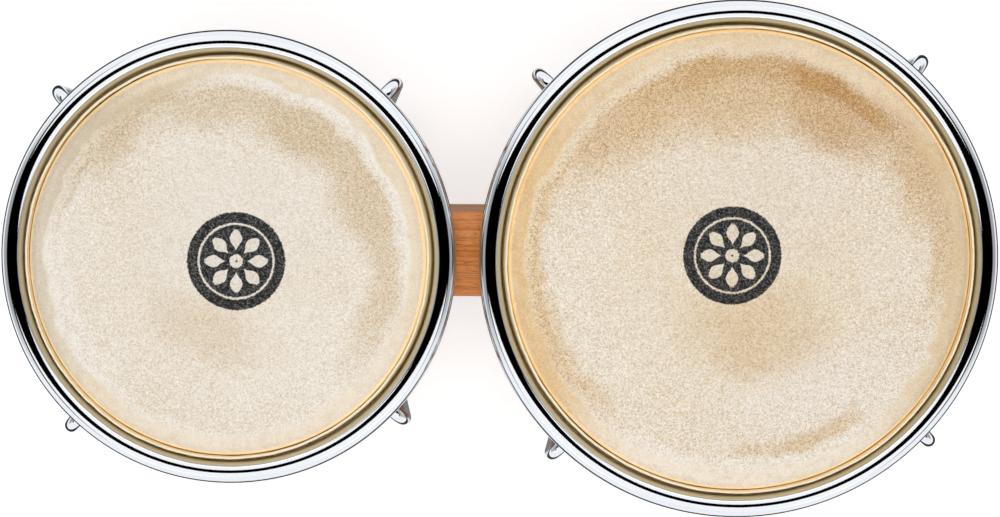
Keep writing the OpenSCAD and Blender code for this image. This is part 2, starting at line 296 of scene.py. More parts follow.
def apply_modifiers(piece):
    """Replaces a piece's mesh by what its modifiers make of it."""
    made = bpy.data.meshes.new_from_object(piece.evaluated_get(bpy.context.evaluated_depsgraph_get()))
    made.name = piece.data.name
    piece.modifiers.clear()
    piece.data = made


def carve(piece, tools):
    """Cuts the tools' shape out of a piece."""
    cutter = tools.object("cutter", piece.data.materials[0])
    cut = piece.modifiers.new("cut", "BOOLEAN")
    cut.operation, cut.solver, cut.object = "DIFFERENCE", "EXACT", cutter
    bpy.context.view_layer.update()
    apply_modifiers(piece)
    bpy.data.objects.remove(cutter)


def stand_for(piece, body, slot, *nodes):
    """Says what a finished piece rides on and which CAD nodes it stands for. slot, what it is made of, is
    not used.
    """
    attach(piece, body)
    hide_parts(*nodes)
    return piece


def disc_outline(radius, low, high, hole=0.0, soft=0.3 * MM):
    """The outline of a washer or pin with its outer edges rounded off."""
    inner = max(hole, ON_AXIS)
    return [
        (inner, low), *arc((radius - soft, low + soft), soft, -90, 0, 3),
        *arc((radius - soft, high - soft), soft, 0, 90, 3), (inner, high),
    ]


# ---- Materials ----


class Graph:
    """Writes shader nodes into a tree, and returns each new node or its result."""

    def __init__(self, tree):
        self.tree = tree

    def node(self, kind, inputs, **settings):
        made = self.tree.nodes.new("ShaderNode" + kind)
        for key, value in settings.items():
            setattr(made, key, value)
        for key, value in inputs.items():
            self.put(made.inputs[key], value)
        return made

    def put(self, socket, value):
        """Links a socket to a node's result, or sets it to a constant."""
        if isinstance(value, bpy.types.NodeSocket):
            self.tree.links.new(value, socket)
        elif value is not None:
            socket.default_value = value

    def math(self, operation, a, b=None, c=None):
        return self.node("Math", {0: a, 1: b, 2: c}, operation=operation).outputs[0]

    def plus(self, a, b):
        return self.math("ADD", a, b)

    def minus(self, a, b):
        return self.math("SUBTRACT", a, b)

    def times(self, a, b):
        return self.math("MULTIPLY", a, b)

    def larger(self, a, b):
        return self.math("MAXIMUM", a, b)

    def length(self, x, y):
        return self.math("SQRT", self.plus(self.times(x, x), self.times(y, y)))

    def vector(self, operation, a, b=None):
        made = self.node("VectorMath", {0: a, 1: b}, operation=operation)
        return made.outputs["Value" if operation in ("LENGTH", "DOT_PRODUCT") else "Vector"]

    def parts(self, vector):
        return self.node("SeparateXYZ", {0: vector}).outputs[:3]

    def join(self, x, y, z):
        return self.node("CombineXYZ", {0: x, 1: y, 2: z}).outputs[0]

    def mapped(self, vector, move=(0, 0, 0), turn=0.0, scale=(1, 1, 1)):
        """The vector moved, then turned about Z by degrees, then scaled."""
        moved = self.vector("ADD", vector, move)
        turned = self.node("VectorRotate", {"Vector": moved, "Angle": radians(turn)}).outputs[0]
        return self.vector("MULTIPLY", turned, scale)

    def noise(self, vector, scale, detail=3.0, roughness=0.5, distortion=0.0):
        inputs = {"Vector": vector, "Scale": scale, "Detail": detail}
        inputs |= {"Roughness": roughness, "Distortion": distortion}
        return self.node("TexNoise", inputs).outputs["Fac"]

    def warped(self, vector, scale, amount):
        """The vector pushed about by a noise, by up to about half the amount."""
        push = self.node("TexNoise", {"Vector": vector, "Scale": scale, "Detail": 2.0}).outputs["Color"]
        centred = self.vector("SUBTRACT", push, (0.5,) * 3)
        return self.vector("ADD", vector, self.vector("MULTIPLY", centred, (amount,) * 3))

    def band(self, value, low, high, to_low=0.0, to_high=1.0):
        """value, from low to high, smoothly turned into to_low to to_high."""
        inputs = {"Value": value, "From Min": low, "From Max": high, "To Min": to_low, "To Max": to_high}
        return self.node("MapRange", inputs, interpolation_type="SMOOTHSTEP").outputs["Result"]

    def ring(self, value, middle, half, soft):
        """1 where value is within half of middle, fading out over soft."""
        return self.band(self.math("ABSOLUTE", self.minus(value, middle)), half + soft, half)

    def mix(self, factor, a, b, blend="MIX"):
        """Colour a where the factor is 0, b where it is 1. A constant is three numbers or an sRGB code."""
        made = self.node("Mix", {0: factor}, data_type="RGBA", blend_type=blend)
        for i, value in ((6, a), (7, b)):
            value = linear(value) if isinstance(value, str) else value
            self.put(made.inputs[i], (*value, 1.0) if isinstance(value, tuple) else value)
        return made.outputs[2]

    def bump(self, height, distance, strength=1.0, under=None):
        inputs = {"Height": height, "Distance": distance, "Strength": strength, "Normal": under}
        return self.node("Bump", inputs).outputs[0]


class Paint(Graph):
    """One material, with a Principled shader whose constants are given by name."""

    def __init__(self, name, **constants):
        self.material = bpy.data.materials.new(name)
        self.material.use_nodes = True
        super().__init__(self.material.node_tree)
        self.shader = self.tree.nodes["Principled BSDF"]
        for socket, value in constants.items():
            self.shader.inputs[socket.replace("_", " ")].default_value = value
        self.place = self.node("TexCoord", {}).outputs["Object"]

    def set(self, socket, value):
        self.put(self.shader.inputs[socket], value)

    def finished(self, colour, roughness, height, distance, strength=1.0):
        """Sets the shader's colour, roughness and bumps. Returns the material."""
        self.set("Base Color", colour)
        self.set("Roughness", roughness)
        self.set("Normal", self.bump(height, distance, strength))
        return self.material


def linear(code):
    """A linear colour from its sRGB hexadecimal code."""
    parts = [int(code[i:i + 2], 16) / 255 for i in (0, 2, 4)]
    return tuple(c / 12.92 if c <= 0.04045 else ((c + 0.055) / 1.055) ** 2.4 for c in parts)


def chrome():
    """Polished plate: almost smooth, with faint haze, hairline scratches and a slow unevenness."""
    p = Paint("chrome", Metallic=1.0, Base_Color=(0.84, 0.86, 0.89, 1))
    haze = p.noise(p.place, 70, 4)
    scratch = p.noise(p.mapped(p.warped(p.place, 40, 0.02), turn=20, scale=(1, 9, 1)), 900, 2)
    hazed = p.band(haze, 0.35, 0.75, 0.02, 0.06)
    p.set("Roughness", p.plus(hazed, p.band(scratch, 0.66, 0.74, 0, 0.07)))
    slow = p.bump(p.noise(p.place, 28, 1), 0.12 * MM)
    p.set("Normal", p.bump(scratch, 0.004 * MM, under=slow))
    return p.material


def zinc():
    """Zinc-plated steel: a dull, slightly yellow grey with spangles and dark spots."""
    p = Paint("zinc_steel", Metallic=1.0)
    cloud = p.noise(p.place, 120, 4)
    colour = p.mix(p.band(cloud, 0.3, 0.7), "A9A799", "C9CACB")
    roughness = p.band(p.noise(p.place, 400, 3), 0.3, 0.7, 0.26, 0.48)
    return p.finished(colour, roughness, p.noise(p.place, 1500, 3), 0.03 * MM)


def brass():
    """Turned brass, a little tarnished."""
    p = Paint("brass", Metallic=1.0)
    cloud = p.noise(p.place, 200, 4)
    colour = p.mix(p.band(cloud, 0.35, 0.7), "C9A24E", "9A7434")
    turning = p.noise(p.mapped(p.place, scale=(9, 1, 1)), 500, 2)
    return p.finished(colour, p.band(cloud, 0.3, 0.7, 0.2, 0.4), turning, 0.02 * MM)


def grain(p, along):
    """Wood figure for grain that runs along an axis (0 to 2): slow bands, streaks and short pores."""
    def drawn_out(vector, scale):
        scales = [1.0] * 3
        scales[along] = scale
        return p.vector("MULTIPLY", vector, tuple(scales))

    straight = drawn_out(p.warped(p.place, 14, 0.010), 0.06)
    thin = drawn_out(p.warped(p.place, 25, 0.002), 0.02)
    bands = p.noise(straight, 95, 5, 0.62, 0.5)
    streaks = p.noise(thin, 900, 3, 0.6)
    pores = p.band(p.noise(drawn_out(p.place, 0.11), 2100, 2), 0.54, 0.68)
    return bands, streaks, pores


def block_wood():
    """The centre block: orange-brown wood, grain along X, satin lacquer."""
    p = Paint("block_wood", Coat_Weight=0.35, Coat_Roughness=0.18)
    bands, streaks, pores = grain(p, 0)
    colour = p.mix(p.band(bands, 0.36, 0.66), "EE923C", "F8B062")
    colour = p.mix(p.band(streaks, 0.44, 0.70, 0, 0.7), colour, "A4541C")
    colour = p.mix(p.times(pores, 0.6), colour, "964818")
    return p.finished(colour, p.band(streaks, 0.3, 0.7, 0.34, 0.5), p.minus(streaks, pores), 0.05 * MM)


def shell_wood(drum):
    """Lacquered staves: upright grain, each stave its own shade, bare and paler inside."""
    p = Paint(f"shell_wood_{drum.name}", Coat_Weight=0.6, Coat_Roughness=0.07)
    mark = p.node("Attribute", {}, attribute_name="mark").outputs["Fac"]
    x, y, z = p.parts(p.vector("SUBTRACT", p.place, (drum.x, 0, 0)))
    # Each stave shows a part of the figure of its own
    p.place = p.vector("ADD", p.place, p.join(p.times(mark, 3.1), mark, p.times(mark, 7.7)))
    bands, streaks, pores = grain(p, 2)
    tone = p.band(p.math("FRACT", p.times(mark, 37.7)), 0, 1, 0.84, 1.12)
    colour = p.mix(p.band(bands, 0.34, 0.68), "9C4A1C", "C06C30")
    colour = p.mix(p.band(streaks, 0.42, 0.74, 0, 0.5), colour, "7A3512")
    colour = p.mix(p.times(pores, 0.6), colour, "4E200B")
    # A cone inside the wall parts the lacquered outside from the bare inside
    taper = (drum.edge_x - drum.foot_r) / drum.edge_z
    cone = p.plus(p.times(z, taper), drum.foot_r - 4 * MM)
    bare = p.band(p.minus(p.length(x, y), cone), 0.5 * MM, -0.5 * MM)
    colour = p.mix(p.times(bare, 0.55), colour, "D9A571")
    colour = p.mix(1.0, colour, p.join(tone, tone, tone), "MULTIPLY")
    return p.finished(colour, p.band(bare, 0, 1, 0.36, 0.72), p.minus(streaks, pores), 0.04 * MM)


def fibres(p, place):
    """Short hairs lying every way. Returns the hairs and the gaps between them."""
    light = dark = 0.0
    for i, turn in enumerate((8, 41, 74, 107, 141, 168)):
        lie = p.mapped(place, move=(0.03 * i,) * 3, turn=turn, scale=(0.24, 1, 0.5))
        strands = p.noise(lie, 2400, 1.5, 0.5)
        where = p.band(p.noise(place, 760 + 67 * i, 1), 0.42, 0.58)
        light = p.larger(light, p.times(p.band(strands, 0.50, 0.68), where))
        dark = p.larger(dark, p.times(p.band(strands, 0.50, 0.32), where))
    return light, dark


# The large stains on each hide: (x, y, half length, half width, turn in degrees, colour, strength), in
# millimetres from the drum's axis.
STAINS = {
    "macho": [
        (4, 12, 50, 40, 10, "F0EAE0", 0.6),
        (60, 24, 30, 12, 112, "DABF98", 0.6),
        (34, 56, 30, 12, -32, "D3B88E", 0.65),
        (-8, 66, 34, 10, 4, "DDC8A6", 0.5),
        (-52, 52, 26, 11, 44, "D3B992", 0.65),
        (-8, -29, 28, 13, -14, "DFC69E", 0.35),
        (38, -38, 34, 26, 0, "F6EDDD", 0.6),
    ],
    "hembra": [
        (8, 32, 52, 32, 0, "EADCC6", 0.5),
        (36, 64, 34, 13, -32, "C48F4A", 0.65),
        (-6, 72, 44, 20, 4, "DDB981", 0.6),
        (74, 40, 30, 12, 118, "D4AE79", 0.55),
        (-48, 62, 38, 16, 38, "DFB983", 0.6),
        (8, -30, 33, 21, -6, "DDBB8A", 0.42),
        (40, -56, 44, 24, 20, "F4EADB", 0.7),
        (-50, -62, 36, 18, -38, "F3E3C6", 0.6),
    ],
}
# Stains that follow the drum's edge: (azimuth and half spread in degrees, distance in from the edge, half
# width and soft border in millimetres, colour, strength)
ARCS = {
    "macho": [
        (10, 60, 16, 3, 7, "E4CBA6", 0.5),
        (75, 40, 17, 4, 6, "DCC6A2", 0.5),
        (130, 45, 9, 2, 5, "D9C09A", 0.7),
        (165, 55, 3, 2, 4, "D6CAB6", 0.7),
        (285, 70, 4, 3, 5, "FAECD6", 0.8),
        (45, 75, 9, 1.5, 2.6, "FDF7EC", 1.0),
        (188, 80, 9, 1.2, 2.2, "FBF4E8", 0.85),
        (180, 50, 14.5, 1.0, 2.2, "F8F2E6", 0.8),
        (290, 60, 8, 0.8, 2.4, "FBF1E2", 0.5),
    ],
    "hembra": [
        (60, 32, 14, 2, 7, "B4772F", 0.9),
        (95, 34, 15, 3, 7, "CB9C5A", 0.7),
        (185, 60, 7, 4, 5, "EFC88E", 0.7),
        (212, 26, 14, 2, 4, "E5C08A", 0.3),
        (290, 24, 16, 1.5, 3.5, "DBB680", 0.42),
        (350, 45, 3, 2, 4, "E2CDAA", 0.6),
        (20, 42, 11, 2, 6, "DDBC8A", 0.5),
        (272, 62, 5, 4, 6, "FDF2E0", 0.8),
        (140, 75, 9, 1.2, 2.4, "FDF0D6", 0.8),
        (78, 34, 7.5, 1.2, 2.4, "F5E2C2", 0.6),
        (245, 50, 9.5, 1.4, 2.6, "FDF2E0", 0.8),
    ],
}
DARK_BLUE = 0.45  # a stain with less blue than this is a dark one
# Each hide's own colours, and the painted shade in the gaps between its hairs: its colour, and how deep the
# gaps look
HIDES = {
    "macho": {
        "low": "E9DABF", "high": "F2E7D4", "rim": "F6E2C2", "mottle": "D3BA94",
        "gaps": "A88456", "gap_shade": 0.32, "hair": "EFDDBE",
    },
    "hembra": {
        "low": "EAD6B2", "high": "F2E4CA", "rim": "F8DDB2", "mottle": "CBA674",
        "gaps": "A4743A", "gap_shade": 0.38, "hair": "ECCB92",
    },
}
HIDE_GLOW = 0.2  # how strongly the lapped side glows
# The printed disc's centre, in millimetres from the drum's axis
DISC_PLACE = {"macho": (4.0, -0.8), "hembra": (-3.4, 2.8)}
DISC_R = 21.5 * MM
PETALS = 8.0


def printed_disc(p, place, drum):
    """A black disc with a worn edge and a plain rosette. Returns the shares of ink, and of rosette in it."""
    dx, dy = DISC_PLACE[drum.name]
    x, y, _ = p.parts(p.vector("SUBTRACT", place, (dx * MM, dy * MM, 0)))
    share = p.math("DIVIDE", p.length(x, y), DISC_R)
    ragged = p.plus(share, p.band(p.noise(place, 1500, 3), 0.3, 0.7, -0.012, 0.012))
    ink = p.band(ragged, 1.005, 0.99)
    petals = p.math("COSINE", p.times(p.math("ARCTAN2", y, x), PETALS))
    swell = p.times(p.band(ragged, 0.24, 0.42), p.band(ragged, 0.66, 0.46))
    rosette = p.band(p.plus(petals, p.times(swell, 1.5)), 0.86, 0.98)
    rosette = p.times(rosette, p.times(p.band(ragged, 0.22, 0.25), p.band(ragged, 0.66, 0.62)))
    for middle, half in ((0.76, 0.014), (0.08, 0.05)):
        rosette = p.larger(rosette, p.ring(ragged, middle, half, 0.015))
    return ink, rosette


def stain(p, share, code, base, stained):
    """Lays one stain over the hide's colour. Returns that, and the share of dark stains."""
    base = p.mix(share, base, code)
    if linear(code)[2] < DARK_BLUE:
        stained = p.larger(share, stained)
    return base, stained


def all_stains(p, drum, place, reach, worn, base):
    """Lays all of the drum's stains over the hide's colour, and returns the same two."""
    soft = p.warped(p.warped(place, 30, 0.020), 150, 0.008)
    stained = 0.0
    for x, y, long, wide, turn, code, strength in STAINS[drum.name]:
        spot = p.mapped(soft, (-x * MM, -y * MM, 0), -turn, (1 / (long * MM), 1 / (wide * MM), 0))
        share = p.band(p.vector("LENGTH", spot), 1.4, 0.3, 0, strength)
        base, stained = stain(p, share, code, base, stained)
    for azimuth, spread, inward, half, border, code, strength in ARCS[drum.name]:
        toward = (cos(radians(azimuth)), sin(radians(azimuth)), 0)
        facing = p.math("DIVIDE", p.vector("DOT_PRODUCT", soft, toward), reach)
        ends, full = cos(radians(spread)), cos(radians(0.35 * spread))
        ring = p.ring(worn, drum.hide_r - inward * MM, half * MM, border * MM)
        share = p.times(p.band(facing, ends, full, 0, strength), ring)
        base, stained = stain(p, share, code, base, stained)
    return base, stained


def haired(p, drum, hairs, reach, worn, stained, base):
    """Lays hairs, and painted shade in the gaps between them, over the hide's colour, fainter near the edge.
    """
    light, dark = hairs
    tones, edge = HIDES[drum.name], drum.hide_r
    cover = p.band(worn, edge - 10 * MM, edge - 6 * MM, 1, 0.35)
    cover = p.times(cover, p.band(reach, 0.3 * edge, 0.75 * edge, 1.05, 1.4))
    # Painted shade: the gaps between the hairs are darkened, more so in the dark stains
    depth = p.times(cover, p.math("MULTIPLY_ADD", stained, 0.34, tones["gap_shade"]))
    base = p.mix(p.times(dark, depth), base, tones["gaps"])
    hair = p.mix(stained, "FFFAF2", tones["hair"])
    strength = p.times(cover, p.math("MULTIPLY_ADD", stained, -0.30, 0.72))
    return p.mix(p.times(light, strength), base, hair)


def lapped_side(p, drum, reach, z, mottle, base):
    """Paler gold below the head, as painted light in the shaded crevice; pale at the flap's cut edge; a
    faint painted glow as if light came through.
    """
    top = drum.skin_top
    # Painted light: a paler gold than the hide's own, so that the shaded crevice round the hoop looks lit
    base = p.mix(p.band(z, top - 2 * MM, top - 5 * MM, 0, 0.85), base, "FFE3AE")
    # A painted glow on the lapped side, as if light came through
    flap = p.times(p.band(z, top - 7 * MM, top - 3 * MM), p.band(z, top - MM, top - 2.2 * MM))
    p.set("Emission Color", (*linear("FFE8A6"), 1.0))
    p.set("Emission Strength", p.times(flap, HIDE_GLOW))
    outside = p.band(reach, drum.hide_r + 1.3 * MM, drum.hide_r + 1.6 * MM)
    cut = p.times(outside, p.band(z, top - 2 * MM, top - MM))
    return p.mix(p.times(cut, p.band(mottle, 0.3, 0.6, 0.5, 1)), base, "FFF2D0")


def rawhide(drum):
    """Natural hide: cream, stained, covered in short hairs, with a printed disc."""
    p = Paint(f"rawhide_{drum.name}", Specular_IOR_Level=0.3)
    tones, edge = HIDES[drum.name], drum.hide_r
    place = p.vector("SUBTRACT", p.place, (drum.x, 0, 0))
    x, y, z = p.parts(place)
    reach = p.length(x, y)
    base = p.mix(p.band(p.noise(place, 22, 4, 0.55), 0.3, 0.7), tones["low"], tones["high"])
    worn = p.plus(reach, p.band(p.noise(place, 60, 3), 0.3, 0.7, -1.6 * MM, 1.6 * MM))
    rim_zone = p.band(worn, edge - 10 * MM, edge - 6 * MM, 0, 0.6)
    base = p.mix(rim_zone, base, tones["rim"])
    base, stained = all_stains(p, drum, place, reach, worn, base)
    mottle = p.noise(place, 260, 4, 0.65)
    base = p.mix(p.band(mottle, 0.44, 0.74, 0, 0.30), base, tones["mottle"])
    light, dark = fibres(p, place)
    base = haired(p, drum, (light, dark), reach, worn, stained, base)
    base = lapped_side(p, drum, reach, z, mottle, base)
    ink, rosette = printed_disc(p, place, drum)
    inked = p.times(ink, p.band(light, 0.45, 1.0, 1.0, 0.82))
    black = p.mix(p.times(light, 0.17), "0F1011", "5A626C")
    printed = p.mix(p.times(rosette, 0.93), black, base)
    height = p.plus(p.minus(light, dark), p.times(mottle, 0.8))
    roughness = p.band(mottle, 0.3, 0.7, 0.50, 0.68)
    return p.finished(p.mix(inked, base, printed), roughness, height, 0.09 * MM, 0.7)


# What the chrome sees in the floor: a dark belt round the drums, a dim patch below the block, and dimmer
# ground near the drums. Distances are from the line between the drums' axes.
BELT_MIDDLE = 0.11  # half that line's length
BELT_IN, BELT_OUT, BELT_SOFT = 0.16, 0.42, 0.06
BELT_SHINE = 0.015
PATCH_X, PATCH_DIM = -0.0075, 0.6
NEAR_IN, NEAR_OUT, NEAR_DIM = 0.09, 0.165, 0.72
FLOOR_GLOW = 0.45  # how strongly the floor glows to the camera
FLOOR_LIGHT = 0.3  # how strongly it lights what is not chrome


def pale_floor():
    """Near-white, glowing a little so that shadows stay faint. From below it can be seen through."""
    p = Paint("floor", Roughness=0.9)
    path = p.node("LightPath", {})
    base = p.mix(p.noise(p.place, 3, 2), (0.86, 0.86, 0.86), (0.88, 0.88, 0.88))
    p.set("Base Color", p.mix(path.outputs["Is Glossy Ray"], base, (0, 0, 0)))
    x, y, _ = p.parts(p.place)
    away = p.length(p.larger(p.minus(p.math("ABSOLUTE", x), BELT_MIDDLE), 0.0), y)
    belt = p.times(p.band(away, BELT_IN, BELT_IN + BELT_SOFT), p.band(away, BELT_OUT + BELT_SOFT, BELT_OUT))
    beside = p.math("ABSOLUTE", p.minus(x, PATCH_X))
    patch = p.times(p.band(beside, 0.05, 0.03), p.band(p.math("ABSOLUTE", y), 0.13, 0.09))
    dim = p.larger(belt, p.times(patch, PATCH_DIM))
    dim = p.larger(dim, p.band(away, NEAR_OUT, NEAR_IN, 0.0, NEAR_DIM))
    shine = p.times(path.outputs["Is Glossy Ray"], p.band(dim, 0, 1, 1.0, BELT_SHINE))
    glow = p.times(path.outputs["Is Camera Ray"], FLOOR_GLOW)
    glow = p.plus(glow, p.times(path.outputs["Is Diffuse Ray"], FLOOR_LIGHT))
    p.set("Emission Color", (1, 1, 1, 1))
    p.set("Emission Strength", p.plus(shine, glow))
    clear = p.node("BsdfTransparent", {}).outputs[0]
    under = p.node("NewGeometry", {}).outputs["Backfacing"]
    both = p.node("MixShader", {0: under, 1: p.shader.outputs[0], 2: clear}).outputs[0]
    p.put(p.tree.nodes["Material Output"].inputs[0], both)
    return p.material


CHROME, ZINC, BRASS, BLOCK_WOOD = chrome(), zinc(), brass(), block_wood()

# ---- The pieces ----

FOLD_R = 1.1 * MM  # the hide's turn from the hoop's wrap into the flap
CUT_EDGE = 0.75  # the cut edge's thickness, as a share of the hide's


def side_of(path):
    """Unit vectors to the left of a path."""
    along = np.gradient(path, axis=0)
    along /= np.linalg.norm(along, axis=1)[:, None]
    return np.stack([-along[:, 1], along[:, 0]], axis=1)


def skin_path(drum):
    """The hide's middle line, as (radius, height): over the head, down the collar, round the hoop, up the
    flap. Returns it and its count of points before the flap."""
    half = SKIN_T / 2
    edge, hoop = np.array((drum.edge_x, drum.edge_z)), np.array(drum.hoop)
    run = hoop - edge
    wrap = drum.hoop_r + FIT_GAP + half
    lean = acos((EDGE_R + half + wrap) / np.linalg.norm(run)) - atan2(-run[1], run[0])
    out = np.array((cos(lean), sin(lean)))
    up = np.array((-out[1], out[0]))
    lean_deg = degrees(lean)
    flap = edge @ out + EDGE_R + SKIN_T + FLAP_GAP + half - hoop @ out
    slack = degrees(asin((-flap - FOLD_R) / (wrap + FOLD_R)))
    top = [(r, drum.skin_top - half) for r in np.linspace(0, drum.edge_x, 10)[:-1]]
    over = arc(edge, EDGE_R + half, 90, lean_deg, 10)
    collar_end = hoop - wrap * out
    shares = np.linspace(0, 1, 14)[1:-1]
    collar = [tuple(np.array(over[-1]) * (1 - t) + collar_end * t) for t in shares]
    round_hoop = arc(hoop, wrap, 180 + lean_deg, 450 + lean_deg + slack, 40)
    past = radians(90 + slack)
    turn_centre = hoop + (wrap + FOLD_R) * (cos(past) * out + sin(past) * up)
    turn = arc(turn_centre, FOLD_R, 270 + lean_deg + slack, 180 + lean_deg, 7)[1:]
    start = np.array(turn[-1])
    rise = (drum.skin_top - FLAP_DROP - start[1]) / up[1]
    climb = [tuple(start + up * rise * t) for t in np.linspace(0, 1, 16)[1:]]
    before = top + over + collar + round_hoop
    return np.array(before + turn + climb), len(before)


def make_skin(drum):
    """The hide: its middle line thickened and turned, with an uneven cut flap."""
    middle, before_flap = skin_path(drum)
    side = side_of(middle)
    side[0] = (0, 1)
    half = np.full(len(middle), SKIN_T / 2)
    half[-1] *= CUT_EDGE
    middle[0, 0] = ON_AXIS
    outline = np.concatenate([middle + side * half[:, None], (middle - side * half[:, None])[::-1]])
    climb = np.clip((np.arange(len(middle)) - before_flap) / (len(middle) - before_flap), 0, 1)
    climb = np.concatenate([climb, climb[::-1]])
    seed = {"macho": 11, "hembra": 23}[drum.name]

    def uneven(rows, angles):
        """The flap leans in and out, and its cut edge wanders up and down."""
        lean = 0.16 * MM * ripple(angles, (3, 5, 9, 14, 23, 37), seed)
        lean = lean + 0.05 * MM * ripple(angles, (61, 83, 117), seed + 1)
        lean = np.clip(lean, -0.3 * MM, 0.4 * MM)
        height = 0.22 * MM * ripple(angles, (2, 5, 11, 19, 31, 53), seed + 2)
        height = height + 0.08 * MM * ripple(angles, (71, 97, 131, 167), seed + 3)
        height = np.clip(height, -0.6 * MM, 0.45 * MM) - 0.1 * MM
        outward = np.stack([np.cos(angles), np.sin(angles)], axis=1)
        share = climb[None, :] ** 1.5
        rows[:, :, :2] += outward[:, None, :] * (lean[:, None] * share)[:, :, None]
        rows[:, :, 2] += height[:, None] * share ** 3
        return rows

    shape = Shape().lathe(outline, 480, drum.upright(), uneven)
    skin = shape.object(f"{drum.name}_head_skin", rawhide(drum), 50)
    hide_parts(drum.node("skin"))
    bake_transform(skin)


def boss_section(outside, face):
    """A rim boss's outline, as (radius, way out along the arm), from the band to its face."""
    foot = BOSS_R + BOSS_FILLET
    return [
        (BOSS_HOLE_R, outside - 0.6 * MM), (foot, outside - 0.8 * MM), (foot, outside - 0.2 * MM),
        *arc((foot, outside + 1.3 * MM), BOSS_FILLET, 270, 180, 6),
        *arc((BOSS_R - 0.5 * MM, face - 0.5 * MM), 0.5 * MM, 0, 90, 4),
        *arc((BOSS_HOLE_R + 0.3 * MM, face - 0.3 * MM), 0.3 * MM, 90, 180, 3),
    ]


def make_rim(drum):
    """The rolled rim: a crown, an outer roll, a band that flares out, and a boss and hole for each hook."""
    crown = drum.rim_r - ROLL_R
    inner, low_inner = crown - CROWN_R, crown - CROWN_R + SKIRT_FLARE
    roll = (crown, drum.rim_top - ROLL_R)
    soft = 0.5 * MM
    lip = arc(roll, ROLL_R - RIM_SHEET / 2, ROLL_TURN, ROLL_TURN, 0)[0]
    outline = [
        *arc((low_inner + soft, drum.rim_low + soft), soft, 270, 180, 4),
        *arc((crown, drum.rim_top - CROWN_R), CROWN_R, 180, 90, 16),
        *arc(roll, ROLL_R, 90, ROLL_TURN, 40)[1:],
        *arc(lip, RIM_SHEET / 2, ROLL_TURN, ROLL_TURN - 180, 8)[1:],
        *arc(roll, ROLL_R - RIM_SHEET, ROLL_TURN, 100, 20)[1:],
        *arc((low_inner + RIM_SHEET - soft, drum.rim_low + soft), soft, 0, -90, 4),
    ]
    rim = Shape().lathe(outline, 360, drum.upright()).object(f"{drum.name}_rolled_rim", CHROME)
    under_crown = drum.rim_top - CROWN_R
    share = (under_crown - drum.hooks[0].arm_z) / (under_crown - drum.rim_low)
    band = inner + SKIRT_FLARE * share
    outside = band + RIM_SHEET
    low, high = band - 1 * MM, outside + 1 * MM
    hole = [(ON_AXIS, low), (BOSS_HOLE_R, low), (BOSS_HOLE_R, high), (ON_AXIS, high)]
    boss = boss_section(outside, crown + 0.2 * MM + BOSS_LEN)
    holes, bosses = Shape(), Shape()
    for hook in drum.hooks:
        arm = hook.plane() @ shift(0, 0, hook.arm_z) @ spin(pi / 2, "Y")
        holes.lathe(hole, 40, arm)
        bosses.lathe(boss, 48, arm)
    carve(rim, holes)
    stand_for(rim, drum.tension_body, "chrome", drum.node("rim"))
    boss_piece = bosses.object(f"{drum.name}_rim_bosses", CHROME)
    stand_for(boss_piece, drum.tension_body, "chrome", drum.node("rim"))


def thread(rows_at, sides, start, end):
    """A rod's radii at its rows and sides, with a thread between start and end along it."""
    turn = np.arange(sides) / sides
    phase = (rows_at[:, None] / THREAD_PITCH - turn[None, :]) % 1
    cut = 1 - np.abs(2 * phase - 1)
    fade_in = np.clip((rows_at - start) / THREAD_PITCH, 0, 1)
    inside = fade_in * np.clip((end - rows_at) / (1.2 * THREAD_PITCH), 0, 1)
    return ROD_R - THREAD_DEPTH * np.clip(1.5 * cut - 0.25, 0, 1) * inside[:, None]


def make_rod(hook):
    """A hook rod: a level arm, a bend, and a leg with a threaded end."""
    sides = 32
    tilt = degrees(hook.tilt)
    arm = [(x, hook.arm_z) for x in np.linspace(hook.drum.rim_r - ARM_IN, hook.bend_x, 6)[:-1]]
    bend = arc((hook.bend_x, hook.bend_z), BEND_R, 90, -tilt, 20)
    low = np.array(bend[-1])
    down = np.array((-sin(hook.tilt), -cos(hook.tilt)))
    leg = (low[1] - hook.end_z) / cos(hook.tilt)
    plain = np.linspace(0, leg - THREAD_LEN, 12)[1:]
    fine = np.linspace(leg - THREAD_LEN, leg, int(THREAD_LEN / THREAD_PITCH * 8) + 1)[1:]
    path = np.array(arm + bend + [tuple(low + down * s) for s in (*plain, *fine)])
    radii = np.full((len(path), sides), ROD_R)
    radii[-len(fine):] = thread(fine, sides, leg - THREAD_LEN, leg + THREAD_PITCH)
    # Both ends are chamfered by a narrower row
    radii[0] -= 0.5 * MM
    full = np.full((1, sides), ROD_R)
    path = np.concatenate([path[:1], path[:1] + np.array((0.5 * MM, 0)), path[1:], path[-1:]])
    path[-2] = path[-1] - down * ROD_CHAMFER
    radii = np.concatenate([radii[:1], full, radii[1:], full - ROD_CHAMFER])
    side = side_of(path)
    angles = 2 * pi * np.arange(sides) / sides
    rows = np.zeros((len(path), sides, 3))
    rows[:, :, 0] = path[:, None, 0] + radii * np.cos(angles) * side[:, None, 0]
    rows[:, :, 1] = radii * np.sin(angles)
    rows[:, :, 2] = path[:, None, 1] + radii * np.cos(angles) * side[:, None, 1]
    rod = Shape().grid(rows, hook.plane()).object(f"{hook.rod}_hook", CHROME, 40)
    stand_for(rod, hook.rod, "chrome", hook.rod)


def hex_rows(flats, height, bore):
    """Rows round a hexagonal nut or head with its corners turned off. bore is 0 for a solid head."""
    sides = 72
    angles = 2 * pi * np.arange(sides) / sides
    sixth = pi / 3
    flat = flats / 2 / np.cos((angles + sixth / 2) % sixth - sixth / 2)
    turned = np.full(sides, flats / 2 * 0.96)
    drop = (flat - turned) * tan(radians(30))
    inner = max(bore, ON_AXIS)
    lead = 0.4 * MM if bore else 0
    levels = [(inner, lead), (inner + lead, 0), (turned, 0), (flat, drop)]
    levels += [(flat, height - drop), (turned, height), (inner + lead, height), (inner, height - lead)]
    rows = np.zeros((len(levels), sides, 3))
    for row, (radius, level) in zip(rows, levels):
        row[:, 0], row[:, 1], row[:, 2] = radius * np.cos(angles), radius * np.sin(angles), level
    return rows


